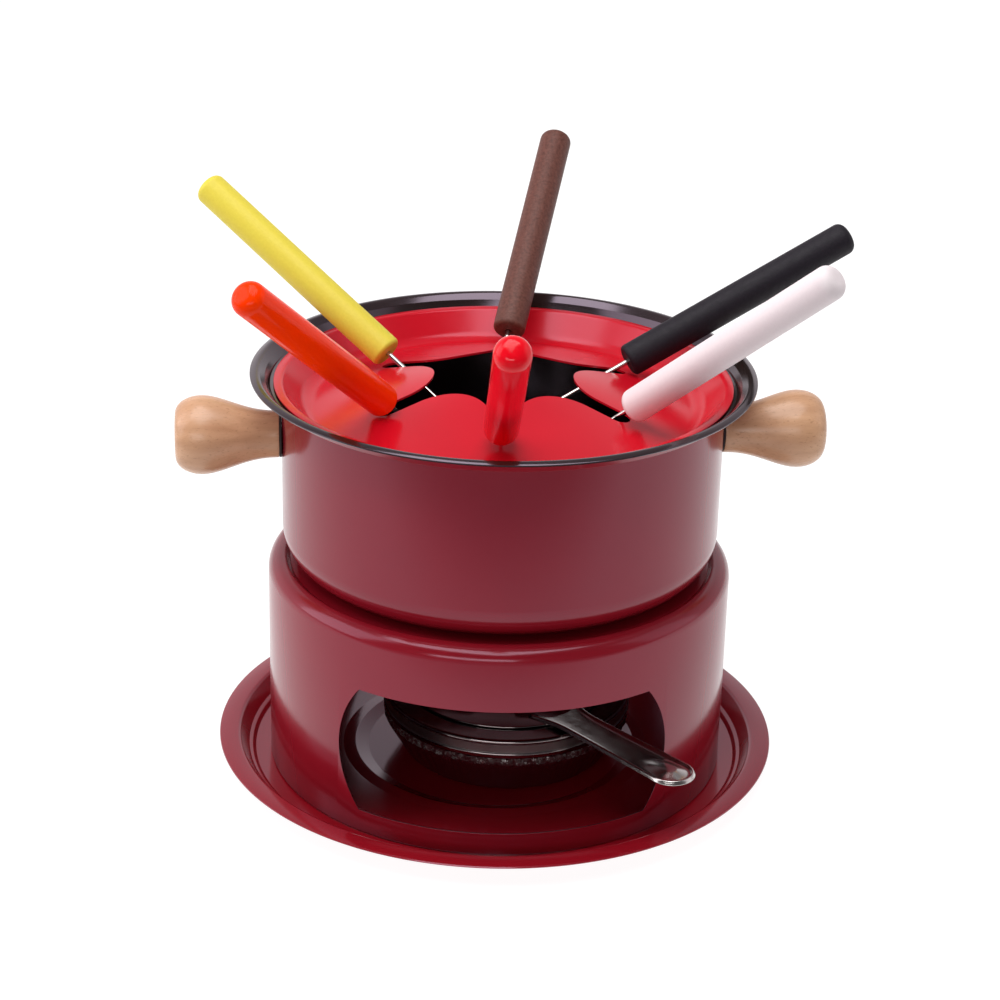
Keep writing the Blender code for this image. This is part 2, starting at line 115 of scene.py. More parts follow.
def offset(path, distance):
    """The path moved sideways by a distance, to its left."""
    moved = []
    for i, here in enumerate(path):
        before = (here - path[i - 1]).normalized() if i else None
        after = (path[i + 1] - here).normalized() if i < len(path) - 1 else None
        before, after = before or after, after or before
        left = Vector((-before.y - after.y, before.x + after.x))
        left /= 1 + before.dot(after)
        moved.append(here + left * distance)
    return moved


def edge_arc(end, outward, radius, turn, steps=4):
    """The round edge of a sheet, from its left side to its right."""
    side = Vector((-outward.y, outward.x)) * radius * turn
    return [end + side * math.cos(a) + outward * radius * math.sin(a)
            for a in [math.pi * k / steps for k in range(1, steps)]]


def sheet(corners, thickness, steps=ARC_STEPS):
    """Closed outline of a sheet about its middle line: (point, slot) with slot 0 on the left side."""
    path = rounded(corners, steps)
    half = thickness / 2
    start, end = (path[1] - path[0]).normalized(), (path[-1] - path[-2]).normalized()
    on_axis = path[0].x < 1e-6
    if not on_axis:
        path[0] = path[0] + start * half
    path[-1] = path[-1] - end * half
    left = [(p, 0) for p in offset(path, half)]
    right = [(p, 1) for p in reversed(offset(path, -half))]
    outline = left + [(p, 0) for p in edge_arc(path[-1], end, half, 1)] + right
    if not on_axis:
        outline += [(p, 1) for p in edge_arc(path[0], -start, half, 1)]
    return outline


def plain(points):
    return [(Vector(p), 0) for p in points]


def lathe(name, outline, turns=TURNS):
    """A solid of revolution about Z from (point, slot) pairs; each slot paints the strip after its point."""
    bm = bmesh.new()
    rings = []
    for point, _ in outline:
        if point.x < 1e-6:
            rings.append([bm.verts.new((0, 0, point.y))])
        else:
            angles = [2 * math.pi * k / turns for k in range(turns)]
            rings.append([bm.verts.new((point.x * math.cos(a), point.x * math.sin(a), point.y))
                          for a in angles])
    for i, ring in enumerate(rings):
        after = rings[(i + 1) % len(rings)]
        if len(ring) == len(after) == 1:
            continue
        for k in range(turns):
            j = (k + 1) % turns
            corners = [ring[k % len(ring)], ring[j % len(ring)],
                       after[j % len(after)], after[k % len(after)]]
            face = bm.faces.new(list(dict.fromkeys(corners)))
            face.material_index = outline[i][1]
    return to_mesh(name, bm)


def to_mesh(name, bm):
    bmesh.ops.recalc_face_normals(bm, faces=bm.faces)
    mesh = bpy.data.meshes.new(name)
    bm.to_mesh(mesh)
    bm.free()
    return mesh


def prism(name, outline, low, high):
    bm = bmesh.new()
    face = bm.faces.new([bm.verts.new((x, y, low)) for x, y in outline])
    grown = bmesh.ops.extrude_face_region(bm, geom=[face])
    top = [v for v in grown["geom"] if isinstance(v, bmesh.types.BMVert)]
    bmesh.ops.translate(bm, verts=top, vec=(0, 0, high - low))
    return to_mesh(name, bm)


def carve(mesh, tools):
    """The mesh with each tool cut out of it."""
    body = bpy.data.objects.new("carved", mesh)
    bpy.context.scene.collection.objects.link(body)
    helpers = []
    for tool in tools:
        helper = bpy.data.objects.new("tool", tool)
        bpy.context.scene.collection.objects.link(helper)
        step = body.modifiers.new("cut", "BOOLEAN")
        step.object, step.solver = helper, "EXACT"
        helpers.append(helper)
    bpy.context.view_layer.update()
    result = bpy.data.meshes.new_from_object(
        body.evaluated_get(bpy.context.evaluated_depsgraph_get()))
    result.name = mesh.name
    for thing in helpers + [body]:
        bpy.data.objects.remove(thing)
    return result


def circle(x, y, radius, sides=40):
    return [(x + radius * math.cos(2 * math.pi * k / sides),
             y + radius * math.sin(2 * math.pi * k / sides)) for k in range(sides)]


def piece(name, mesh, materials, body, node, smooth=40):
    """Adds a finer piece that rides on a body and stands for a CAD node."""
    for made in materials:
        mesh.materials.append(made)
    mesh.shade_smooth()
    mesh.set_sharp_from_angle(angle=math.radians(smooth))
    made = bpy.data.objects.new(name, mesh)
    bpy.context.scene.collection.objects.link(made)
    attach(made, body)
    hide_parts(node)
    return made


# ---------------------------------------------------------------- materials

class Shader:
    """A small helper that builds one Principled material."""

    def __init__(self, name):
        self.material = bpy.data.materials.new(name)
        self.material.use_nodes = True
        self.nodes = self.material.node_tree.nodes
        self.links = self.material.node_tree.links
        self.principled = self.nodes["Principled BSDF"]
        self.place = self.add("ShaderNodeTexCoord").outputs["Object"]

    def add(self, kind, **values):
        node = self.nodes.new(kind)
        for key, value in values.items():
            setattr(node, key, value)
        return node

    def link(self, out, node, socket):
        self.links.new(out, node.inputs[socket])

    def set(self, **values):
        for key, value in values.items():
            self.principled.inputs[key.replace("_", " ")].default_value = value

    def mapped(self, scale, turn=(0, 0, 0), move=(0, 0, 0)):
        node = self.add("ShaderNodeMapping")
        node.inputs["Scale"].default_value = scale
        node.inputs["Rotation"].default_value = turn
        node.inputs["Location"].default_value = move
        self.link(self.place, node, "Vector")
        return node.outputs["Vector"]

    def noise(self, scale, detail=2.0, roughness=0.5, vector=None):
        node = self.add("ShaderNodeTexNoise")
        node.inputs["Scale"].default_value = scale
        node.inputs["Detail"].default_value = detail
        node.inputs["Roughness"].default_value = roughness
        self.link(vector or self.place, node, "Vector")
        return node.outputs["Fac"]

    def ramp(self, fac, low, high, start=0.0, end=1.0):
        """Maps fac from low..high to start..end."""
        node = self.add("ShaderNodeMapRange")
        for key, value in zip(("From Min", "From Max", "To Min", "To Max"), (low, high, start, end)):
            node.inputs[key].default_value = value
        self.link(fac, node, "Value")
        return node.outputs["Result"]

    def mix(self, fac, one, two):
        node = self.add("ShaderNodeMix", data_type="RGBA")
        self.link(fac, node, "Factor")
        for socket, value in (("A", one), ("B", two)):
            target = [s for s in node.inputs if s.name == socket and s.type == "RGBA"][0]
            if hasattr(value, "is_output"):
                self.links.new(value, target)
            else:
                target.default_value = (*value, 1.0)
        return [s for s in node.outputs if s.type == "RGBA"][0]

    def math(self, operation, one, two=None):
        node = self.add("ShaderNodeMath", operation=operation)
        for k, value in enumerate((one, two)):
            if value is None:
                continue
            if hasattr(value, "is_output"):
                self.links.new(value, node.inputs[k])
            else:
                node.inputs[k].default_value = value
        return node.outputs[0]

    def bump(self, height, distance, strength=1.0, below=None):
        node = self.add("ShaderNodeBump")
        node.inputs["Distance"].default_value = distance
        node.inputs["Strength"].default_value = strength
        self.link(height, node, "Height")
        if below:
            self.link(below, node, "Normal")
        return node.outputs["Normal"]

    def finish(self, colour=None, roughness=None, normal=None):
        for out, socket in ((colour, "Base Color"), (roughness, "Roughness"), (normal, "Normal")):
            if out is not None:
                self.link(out, self.principled, socket)
        return self.material


def enamel(name, light, deep, gloss=0.17, level=0.55):
    """Stoved enamel: a very slightly uneven colour with a clear gloss and faint orange peel."""
    s = Shader(name)
    s.set(Specular_IOR_Level=level, Specular_Tint=(1.0, 0.8, 1.0, 1.0))
    colour = s.mix(s.ramp(s.noise(24, 2), 0.3, 0.7), light, deep)
    specks = s.ramp(s.noise(2600, 1), 0.80, 0.86)
    colour = s.mix(s.math("MULTIPLY", specks, 0.5), colour, tuple(0.5 * v for v in deep))
    roughness = s.ramp(s.noise(60, 3), 0.3, 0.7, gloss - 0.015, gloss + 0.025)
    normal = s.bump(s.noise(420, 1), 0.00001, 0.4)
    return s.finish(colour, roughness, normal)


def steel(name, tone=(0.60, 0.585, 0.565), gloss=0.14):
    """Bright stainless steel with faint stains."""
    s = Shader(name)
    s.set(Metallic=1.0)
    colour = s.mix(s.ramp(s.noise(90, 4), 0.35, 0.7), tone, tuple(0.86 * v for v in tone))
    roughness = s.ramp(s.noise(260, 4), 0.3, 0.7, gloss - 0.03, gloss + 0.05)
    return s.finish(colour, roughness, s.bump(s.noise(120, 2), 0.00002, 0.4))


def turned_steel(name, tone, gloss, centre):
    """Stainless steel with fine turning lines about an upright axis and faint stains."""
    s = Shader(name)
    s.set(Metallic=1.0)
    moved = s.mapped((1, 1, 1), move=(-centre[0], -centre[1], 0))
    split = s.add("ShaderNodeSeparateXYZ")
    s.link(moved, split, "Vector")
    radius = s.math("POWER", s.math("ADD", s.math("POWER", split.outputs["X"], 2.0),
                                    s.math("POWER", split.outputs["Y"], 2.0)), 0.5)
    join = s.add("ShaderNodeCombineXYZ")
    s.link(s.math("MULTIPLY", radius, 2400.0), join, "X")
    s.link(s.math("MULTIPLY", split.outputs["Z"], 2400.0), join, "Z")
    lines = s.noise(1.0, 2, 0.6, join.outputs["Vector"])
    blotch = s.noise(90, 4)
    colour = s.mix(s.ramp(blotch, 0.35, 0.7), tone, tuple(0.82 * v for v in tone))
    roughness = s.ramp(lines, 0.25, 0.75, gloss - 0.04, gloss + 0.06)
    return s.finish(colour, roughness, s.bump(lines, 0.00001, 0.25))


def plastic(name, light, deep, gloss, grain, level=0.4, coat=0.0):
    """Moulded plastic: slight mottling and a fine moulded grain."""
    s = Shader(name)
    s.set(Specular_IOR_Level=level, Coat_Weight=coat, Coat_Roughness=0.06)
    colour = s.mix(s.ramp(s.noise(900, 4), 0.3, 0.7), light, deep)
    roughness = s.ramp(s.noise(420, 3), 0.3, 0.7, gloss - 0.04, gloss + 0.06)
    return s.finish(colour, roughness, s.bump(s.noise(1900, 2), 0.00006 * grain, 0.8))


def wood(name, turn, shift):
    """Turned beech: long soft growth bands, short dark flecks along the grain, fine pores."""
    s = Shader(name)
    s.set(Specular_IOR_Level=0.5)
    along = s.mapped((1, 1, 1), turn=(0, 0, turn), move=(shift, 0, 0))
    stretch = s.add("ShaderNodeMapping")
    stretch.inputs["Scale"].default_value = (0.09, 1, 1)
    s.link(along, stretch, "Vector")
    grain = stretch.outputs["Vector"]
    bands = s.noise(210, 3, 0.55, grain)
    fleck = s.add("ShaderNodeMapping")
    fleck.inputs["Scale"].default_value = (0.35, 1, 1)
    s.link(along, fleck, "Vector")
    flecks = s.ramp(s.noise(1500, 2, 0.5, fleck.outputs["Vector"]), 0.60, 0.72)
    pores = s.noise(3400, 1, 0.5, grain)
    colour = s.mix(s.ramp(bands, 0.3, 0.7), (0.66, 0.385, 0.225), (0.51, 0.275, 0.15))
    colour = s.mix(s.math("MULTIPLY", flecks, 0.55), colour, (0.36, 0.17, 0.075))
    roughness = s.ramp(bands, 0.3, 0.7, 0.24, 0.34)
    return s.finish(colour, roughness, s.bump(pores, 0.00005, 0.5))


def felt(name):
    s = Shader(name)
    s.set(Sheen_Weight=0.4, Sheen_Roughness=0.5)
    fibres = s.noise(2200, 6, 0.7)
    colour = s.mix(s.ramp(s.noise(400, 4), 0.3, 0.7), (0.78, 0.76, 0.70), (0.60, 0.57, 0.50))
    roughness = s.ramp(fibres, 0.3, 0.7, 0.88, 1.0)
    return s.finish(colour, roughness, s.bump(fibres, 0.0004, 0.9))


def woven_wire(name, pitch=1.1 * MM):
    """Plain-woven wire gauze, dark between the wires."""
    s = Shader(name)
    split = s.add("ShaderNodeSeparateXYZ")
    s.link(s.place, split, "Vector")
    waves = []
    for axis in ("X", "Y"):
        turned = s.math("SINE", s.math("MULTIPLY", split.outputs[axis], math.pi / pitch))
        waves.append(s.math("ABSOLUTE", turned))
    wires = s.math("MAXIMUM", waves[0], waves[1])
    share = s.ramp(wires, 0.55, 0.85)
    s.set(Metallic=0.9)
    colour = s.mix(share, (0.015, 0.013, 0.012), (0.46, 0.43, 0.40))
    roughness = s.ramp(s.noise(600, 3), 0.3, 0.7, 0.36, 0.52)
    return s.finish(colour, roughness, s.bump(wires, 0.0004, 0.9))


def seam_metal(name):
    """The bowl's crimped rim: enamel worn and crushed down to the bare steel in patches."""
    s = Shader(name)
    bare = s.ramp(s.noise(420, 5, 0.75), 0.53, 0.60)
    colour = s.mix(bare, (0.05, 0.008, 0.010), (0.46, 0.43, 0.42))
    s.link(bare, s.principled, "Metallic")
    roughness = s.ramp(s.noise(700, 3), 0.3, 0.7, 0.22, 0.4)
    return s.finish(colour, roughness, s.bump(s.noise(700, 4), 0.0006, 0.9))


# ---------------------------------------------------------------- round sheet pieces

def add_tray(paint):
    """The tray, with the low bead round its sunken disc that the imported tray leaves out."""
    low = TRAY_SHEET / 2
    ring = TRAY_FLOOR_Z - TRAY_SHEET / 2
    flange = TRAY_RIM_Z - TRAY_SHEET / 2
    corners = [(0, low), (50.5 * MM, low, 3 * MM), (TRAY_DISC_R - 0.7 * MM, ring + 0.45 * MM, 1 * MM),
               (TRAY_DISC_R + 4.2 * MM, ring, 1 * MM), (95.6 * MM, ring, 1 * MM),
               (96.8 * MM, ring + 1.8 * MM, 0.6 * MM),
               (98.2 * MM, ring + 2.0 * MM, 1 * MM), (101.9 * MM, flange, 1.5 * MM),
               (TRAY_RIM_R - 0.1 * MM, flange)]
    mesh = lathe("tray", sheet(corners, TRAY_SHEET))
    piece("tray", mesh, [paint, paint], "tray", "drip_tray")


def window_outline(steps=28):
    half_height = (WINDOW_HIGH_Z - WINDOW_LOW_Z) / 2
    middle = (WINDOW_HIGH_Z + WINDOW_LOW_Z) / 2
    bulge = WINDOW_HALF_MID - WINDOW_HALF_TOP
    radius = (half_height ** 2 + bulge ** 2) / (2 * bulge)
    spread = math.asin(half_height / radius)
    centre = WINDOW_HALF_MID - radius
    arc = [(-spread + 2 * spread * k / steps) for k in range(steps + 1)]
    right = [(centre + radius * math.cos(a), middle + radius * math.sin(a)) for a in arc]
    return right + [(-x, z) for x, z in reversed(right)]


def add_stand(crimson, inner):
    wall = STAND_R - STAND_SHEET / 2
    crest = STAND_CREST_Z - STAND_SHEET / 2
    seat = STAND_SEAT_Z - STAND_SHEET / 2
    corners = [(wall, TRAY_FLOOR_Z + GAP), (wall, crest, 5.2 * MM), (83.0 * MM, crest, 1 * MM),
               (81.2 * MM, seat, 1 * MM), (STAND_HOLE_R + 0.5 * MM, seat, 2 * MM),
               (STAND_HOLE_R + 0.5 * MM, seat - 6 * MM)]
    outline = [(p, 2 if side == 0 and p.y > WINDOW_HIGH_Z + 2 * MM else side)
               for p, side in sheet(corners, STAND_SHEET)]
    mesh = lathe("stand", outline)
    for made in (inner[0], crimson, inner[1]):
        mesh.materials.append(made)
    window = prism("window", window_outline(), -0.12, 0.12)
    window.transform(Matrix.Rotation(math.radians(90), 4, "X"))
    mesh = carve(mesh, [window])
    mesh.transform(Matrix.Rotation(STAND_TURN, 4, "Z"))
    made = piece("stand", mesh, [], "stand", "stand_shell")
    soften(made, 0.22 * MM, 60)


def soften(made, width, angle):
    """Small rounded edges where a cut left sharp ones."""
    step = made.modifiers.new("soft_edges", "BEVEL")
    step.width, step.segments, step.limit_method = width, 2, "ANGLE"
    step.angle_limit = math.radians(angle)
    step.harden_normals = True


def add_pot(crimson, black):
    wall = POT_R - POT_SHEET / 2
    floor = POT_BASE_Z + POT_SHEET / 2
    ledge = POT_LEDGE_Z - POT_SHEET / 2
    rim = POT_RIM_Z - POT_SHEET
    corners = [(0, floor), (wall, floor, 14 * MM), (wall, ledge, 1.4 * MM),
               (POT_LEDGE_R + POT_SHEET / 2, ledge, 1 * MM),
               (90.1 * MM, rim - 1.7 * MM, 1 * MM), (92.7 * MM, rim + 0.7 * MM, 1.9 * MM),
               (POT_RIM_R, rim - 0.1 * MM)]
    outline = [(p, 0 if p.x > 92.4 * MM else side) for p, side in sheet(corners, POT_SHEET, 10)]
    mesh = lathe("pot", outline)
    piece("pot", mesh, [black, crimson], "pot", "pot_body")


def star_outline(arc=16):
    half = math.pi / PETALS
    centre = PETAL_TIP_R + PETAL_NOSE_R
    swing = math.pi / 2 - half
    outline = []
    for k in range(PETALS):
        petal = Matrix.Rotation(2 * half * k, 2)
        notch = Matrix.Rotation(2 * half * k + half, 2)
        for step in range(-arc, arc + 1):
            a = math.pi - swing * step / arc
            outline.append(petal @ Vector((centre + PETAL_NOSE_R * math.cos(a),
                                           PETAL_NOSE_R * math.sin(a))))
        for step in range(arc + 1):
            a = -math.pi / 2 + math.pi * step / arc
            outline.append(notch @ Vector((NOTCH_END_R - NOTCH_HALF + NOTCH_HALF * math.cos(a),
                                           NOTCH_HALF * math.sin(a))))
    return [(p.x, p.y) for p in outline]


def add_ring(scarlet):
    flange = POT_LEDGE_Z + GAP + RING_SHEET / 2
    slope = (PETAL_TIP_Z - RING_WELL_Z) / (RING_WELL_R - PETAL_TIP_R)
    inner = PETAL_TIP_R - 6 * MM
    corners = [(RING_R, flange), (83.6 * MM, flange, 1.4 * MM), (RING_WELL_R, RING_WELL_Z, 7 * MM),
               (inner, RING_WELL_Z + slope * (RING_WELL_R - inner))]
    mesh = lathe("ring", sheet(corners, RING_SHEET))
    for _ in range(2):
        mesh.materials.append(scarlet)
    star = prism("star", star_outline(), RING_WELL_Z - 20 * MM, PETAL_TIP_Z + 20 * MM)
    made = piece("splash_ring", carve(mesh, [star]), [], "ring", "fork_ring")
    soften(made, 0.22 * MM, 60)


# ---------------------------------------------------------------- knobs

def knob_outline(steps=40, end_steps=20):
    side = []
    for k in range(steps + 1):
        u = k / steps
        late = u ** 1.25
        ease = late * late * (3 - 2 * late)
        side.append(Vector((KNOB_NECK_R + (KNOB_BULB_R - KNOB_NECK_R) * ease,
                            KNOB_START + (KNOB_BULB_AT - KNOB_START) * u)))
    for k in range(1, end_steps + 1):
        a = math.pi / 2 * k / end_steps
        side.append(Vector((KNOB_END_R + (KNOB_BULB_R - KNOB_END_R) * math.cos(a),
                            KNOB_BULB_AT + (KNOB_END - KNOB_BULB_AT) * math.sin(a))))
    start = side[0]
    lead = [Vector((0, KNOB_START)), Vector((start.x - 0.5 * MM, KNOB_START)),
            Vector((start.x - 0.1 * MM, KNOB_START + 0.15 * MM))]
    return plain(lead + side[1:] + [Vector((0, KNOB_END))])


def add_knobs(beech, dark):
    for side, turn in (("left", KNOB_TURN + math.pi), ("right", KNOB_TURN)):
        aim = (Matrix.Translation((0, 0, KNOB_Z)) @ Matrix.Rotation(turn, 4, "Z")
               @ Matrix.Rotation(math.radians(90), 4, "Y"))
        mesh = lathe("knob_" + side, knob_outline(), 96)
        mesh.transform(aim)
        piece("knob_" + side, mesh, [beech[side]], "pot", "handle_knob_" + side)
        bore, low, high = 2.8 * MM, POT_R + 0.02 * MM, KNOB_START - 0.02 * MM
        washer = rounded([(bore, low), (8.8 * MM, low, 0.2 * MM), (8.8 * MM, high, 0.2 * MM),
                          (bore, high)], 3)
        # the washer is near-black, which paints the shade of the gap between knob and pot wall
        mesh = lathe("washer_" + side, plain(washer), 96)
        mesh.transform(aim)
        piece("washer_" + side, mesh, [dark], "pot", "handle_washer_" + side)


# ---------------------------------------------------------------- burner

def add_bowl(paint, seam):
    """The fuel bowl; its crimped edge is slightly uneven, always inwards."""
    half = BURNER_SHEET / 2
    base = BURNER_BASE_Z + half
    rim = BURNER_R - half
    corners = [(0, base), (39.5 * MM, base, 5 * MM), (rim, 17 * MM, 3 * MM), (rim, SEAM_Z - GAP)]
    outline = []
    for point, slot in sheet(corners, BURNER_SHEET, 12):
        outline.append((point, 2 if point.y > 17.3 * MM and point.x > rim - 0.6 * MM else slot))
    mesh = lathe("bowl", outline, 360)
    for v in mesh.vertices:
        if v.co.z > 15.8 * MM and v.co.xy.length > BURNER_R - 0.5 * MM:
            rough = noise.noise(Vector((v.co.x, v.co.y, v.co.z * 0.6)) * 420)
            inward = min(0.0, rough - 0.25) * 1.3 * MM
            v.co.xy *= 1 + inward / BURNER_R
    for v in mesh.vertices:
        v.co.x += BURNER_X
    piece("burner_bowl_fine", mesh, [paint, paint, seam], "burner", "burner_bowl",
          60)


def vent_tools(height):
    tools = []
    for k in range(VENTS):
        angle = 2 * math.pi * (k + 0.5) / VENTS
        spot = circle(VENT_RING_R * math.cos(angle), VENT_RING_R * math.sin(angle), VENT_R)
        tools.append(prism("vent", spot, height - 4 * MM, height + 4 * MM))
    return tools


def add_cover(metal, brushed):
    half = BURNER_SHEET / 2
    rim = BURNER_R - half
    top = COVER_TOP_Z - half
    neck = NECK_R - half
    corners = [(rim - 1.2 * MM, SEAM_Z - 2.6 * MM), (rim - 1.2 * MM, SEAM_Z - 0.2 * MM, 0.3 * MM),
               (rim, SEAM_Z + 0.3 * MM, 0.3 * MM), (rim, SEAM_Z + 1.6 * MM, 0.5 * MM),
               (rim - 0.5 * MM, SEAM_Z + 2.2 * MM, 0.5 * MM), (rim - 0.5 * MM, top - 1.6 * MM, 0.4 * MM),
               (rim - 0.1 * MM, top - 1.2 * MM, 0.3 * MM), (rim - 0.1 * MM, top, 0.8 * MM),
               (neck, top, 1.2 * MM), (neck, NECK_TOP_Z)]
    outline = []
    for point, side in sheet(corners, BURNER_SHEET):
        banded = point.x > rim - 0.4 * MM and SEAM_Z + 1.9 * MM < point.y < top - 1.2 * MM
        outline.append((point, 2 if banded else side))
    mesh = lathe("cover", outline)
    # the cover's steel carries a dark red tone that paints the reflection of the stand's interior
    for made in (metal, metal, brushed):
        mesh.materials.append(made)
    mesh = carve(mesh, vent_tools(top))
    mesh.transform(Matrix.Translation((BURNER_X, 0, 0)))
    piece("burner_cover_fine", mesh, [], "burner", "burner_cover")


def lever_half_width(along):
    flare = max(0.0, (LEVER_FLARE_END - along) / (LEVER_FLARE_END - LEVER_START))
    share = (along - LEVER_START) / (LEVER_END - LEVER_START)
    return LEVER_HALF_ROOT + (LEVER_HALF_TIP - LEVER_HALF_ROOT) * share + LEVER_FLARE * flare ** 2


def lever_height(along):
    share = (along - LEVER_RISE_FROM) / (LEVER_RISE_TO - LEVER_RISE_FROM)
    return LEVER_RISE * min(max(share, 0.0), 1.0)


def tip_dome(x, y):
    """The pressed thumb rest near the lever's tip."""
    along = x - (LEVER_END - LEVER_HALF_TIP)
    away = math.hypot(along * (1.0 if along > 0 else 0.45), y) / (LEVER_HALF_TIP - 1.8 * MM)
    return 2.1 * MM * (1 - away * away) ** 2 if away < 1 else 0.0


def lever_side(inset, arc=14):
    centre = LEVER_END - LEVER_HALF_TIP
    radius = lever_half_width(centre) - inset
    stations = [LEVER_START + (centre - LEVER_START) * k / 40 for k in range(40)]
    side = [(x, lever_half_width(x) - inset) for x in stations]
    for k in range(arc + 1):
        a = math.pi / 2 * (1 - k / arc)
        side.append((centre + radius * math.cos(a), radius * math.sin(a)))
    return side


# The lever's section from its outer edge inwards: inset and height in mm
LEVER_SECTION = [(0.0, 0.35), (0.15, 0.5), (0.4, 1.1), (0.7, 1.6), (1.0, 1.75), (1.3, 1.6),
                 (1.65, 1.15), (2.1, 0.75), (2.6, 0.6), (3.3, 0.55), (4.1, 0.5), (4.9, 0.45),
                 (5.7, 0.42), (6.5, 0.40), (7.1, 0.40)]


def add_regulator(turned, smooth):
    base = DISC_Z + 0.3 * MM
    bm = bmesh.new()
    rings = []
    for inset, level in LEVER_SECTION:
        half = lever_side(inset * MM)
        outline = half + [(x, -y) for x, y in reversed(half[:-1])]
        rings.append([bm.verts.new((x, y, base + level * MM + lever_height(x) + tip_dome(x, y)))
                      for x, y in outline])
    for one, two in zip(rings, rings[1:]):
        for k in range(len(one) - 1):
            bm.faces.new((one[k], two[k], two[k + 1], one[k + 1]))
    last = rings[-1]
    for k in range(len(last) // 2):
        corners = [last[k], last[-k - 1], last[-k - 2], last[k + 1]]
        bm.faces.new(list(dict.fromkeys(corners)))
    bmesh.ops.recalc_face_normals(bm, faces=bm.faces)
    if sum(f.normal.z for f in bm.faces) < 0:
        bmesh.ops.reverse_faces(bm, faces=bm.faces)
    surface = bpy.data.meshes.new("lever")
    bm.to_mesh(surface)
    bm.free()
    outline = rounded([(DISC_BORE_R, DISC_Z), (DISC_R, DISC_Z, 0.3 * MM),
                       (DISC_R, DISC_Z + REGULATOR_SHEET, 0.3 * MM),
                       (DISC_BORE_R, DISC_Z + REGULATOR_SHEET)], 3)
    disc = carve(lathe("regulator_disc", plain(outline)), vent_tools(DISC_Z))
    aim = Matrix.Translation((BURNER_X, 0, 0)) @ Matrix.Rotation(LEVER_TURN, 4, "Z")
    for mesh in (disc, surface):
        mesh.transform(aim)
    # the disc's steel carries a dark red tone that paints the reflection of the stand's interior
    piece("regulator_plate", disc, [turned], "regulator", "regulator")
    made = piece("lever", surface, [smooth], "regulator", "regulator", 80)
    step = made.modifiers.new("sheet", "SOLIDIFY")
    step.thickness, step.offset = 0.5 * MM, -1.0


# ---------------------------------------------------------------- forks

# How round each handle's lower and upper end is, in mm
HANDLE_ENDS = {"yellow": (1.6, 3.0), "orange": (2.6, 4.6), "black": (1.8, 3.2),
               "white": (2.6, 4.2), "brown": (1.8, 3.2), "red": (2.8, 5.0)}


def handle_outline(low_round, high_round):
    bore = FORK_WIRE_R + GAP
    outside = rounded([(bore, 0), (FORK_HANDLE_R, 0, low_round * MM),
                       (FORK_HANDLE_R, FORK_HANDLE_LENGTH, high_round * MM),
                       (0, FORK_HANDLE_LENGTH)], 12)
    return plain([(0, FORK_BORE_DEPTH), (bore, FORK_BORE_DEPTH)] + outside)


def add_tube(bm, path, radii, sides=16):
    """A round wire in the XZ plane through a path of (x, z) points."""
    rings = []
    for i, (x, z) in enumerate(path):
        before, after = path[max(i - 1, 0)], path[min(i + 1, len(path) - 1)]
        along = Vector((after[0] - before[0], 0, after[1] - before[1])).normalized()
        across = Vector((0, 1, 0)).cross(along)
        rings.append([bm.verts.new(Vector((x, 0, z)) + radii[i] * (
            across * math.cos(a) + Vector((0, 1, 0)) * math.sin(a)))
            for a in [2 * math.pi * k / sides for k in range(sides)]])
    for one, two in zip(rings, rings[1:]):
        for k in range(sides):
            bm.faces.new((one[k], one[k - 1], two[k - 1], two[k]))
    bm.faces.new(rings[0])
    bm.faces.new(rings[-1][::-1])


def shaft_mesh(name):
    low = -FORK_REACH
    bend = low + TINE_LENGTH
    bm = bmesh.new()
    arc = [math.pi - math.pi * k / 24 for k in range(25)]
    left = [(-TINE_HALF, low), (-TINE_HALF, low + 2 * MM), (-TINE_HALF, low + 5 * MM)]
    top = [(TINE_HALF * math.cos(a), bend + TINE_HALF * math.sin(a)) for a in arc]
    path = left + top + [(-x, z) for x, z in reversed(left)]
    ends = [0.2 * MM, 0.65 * MM]
    add_tube(bm, path, ends + [TINE_R] * (len(path) - 4) + ends[::-1])
    tip = bend + TINE_HALF - 0.6 * MM
    stem = [(0, tip), (0, tip + 4 * MM), (0, 0), (0, FORK_BORE_DEPTH - GAP)]
    add_tube(bm, stem, [FORK_WIRE_R] * 4)
    return to_mesh(name, bm)


def add_forks(colours, metal):
    for name, (foot_r, foot_turn, foot_z, lean, lean_turn, tine_turn) in FORKS.items():
        turn = math.radians(foot_turn)
        aim = (Matrix.Translation((foot_r * MM * math.cos(turn), foot_r * MM * math.sin(turn),
                                   foot_z * MM))
               @ Matrix.Rotation(math.radians(lean_turn), 4, "Z")
               @ Matrix.Rotation(math.radians(lean), 4, "Y")
               @ Matrix.Rotation(math.radians(tine_turn), 4, "Z"))
        handle = lathe("handle_" + name, handle_outline(*HANDLE_ENDS[name]), 64)
        handle.transform(aim)
        piece("handle_" + name, handle, [colours[name]], "fork_" + name, "fork_handle_" + name)
        shaft = shaft_mesh("shaft_" + name)
        shaft.transform(aim)
        piece("shaft_" + name, shaft, [metal], "fork_" + name, "fork_shaft_" + name,
              60)


# ---------------------------------------------------------------- studio

def add_floor():
    size = 6.0
    bm = bmesh.new()
    bm.faces.new([bm.verts.new((x * size, y * size, 0))
                  for x, y in ((-1, -1), (1, -1), (1, 1), (-1, 1))])
    floor = bpy.data.objects.new("studio_floor", to_mesh("studio_floor", bm))
    s = Shader("studio_floor")
    s.set(Specular_IOR_Level=0.1, Roughness=0.8, Emission_Color=(1, 1, 1, 1))
    split = s.add("ShaderNodeSeparateXYZ")
    s.link(s.place, split, "Vector")
    near = s.ramp(split.outputs["Y"], -0.34, -0.2)
    s.link(s.math("MULTIPLY", near, 0.93), s.principled, "Emission Strength")
    floor.data.materials.append(s.finish(s.mix(near, (0.33, 0.31, 0.33), (0.2, 0.2, 0.2))))
    bpy.context.scene.collection.objects.link(floor)


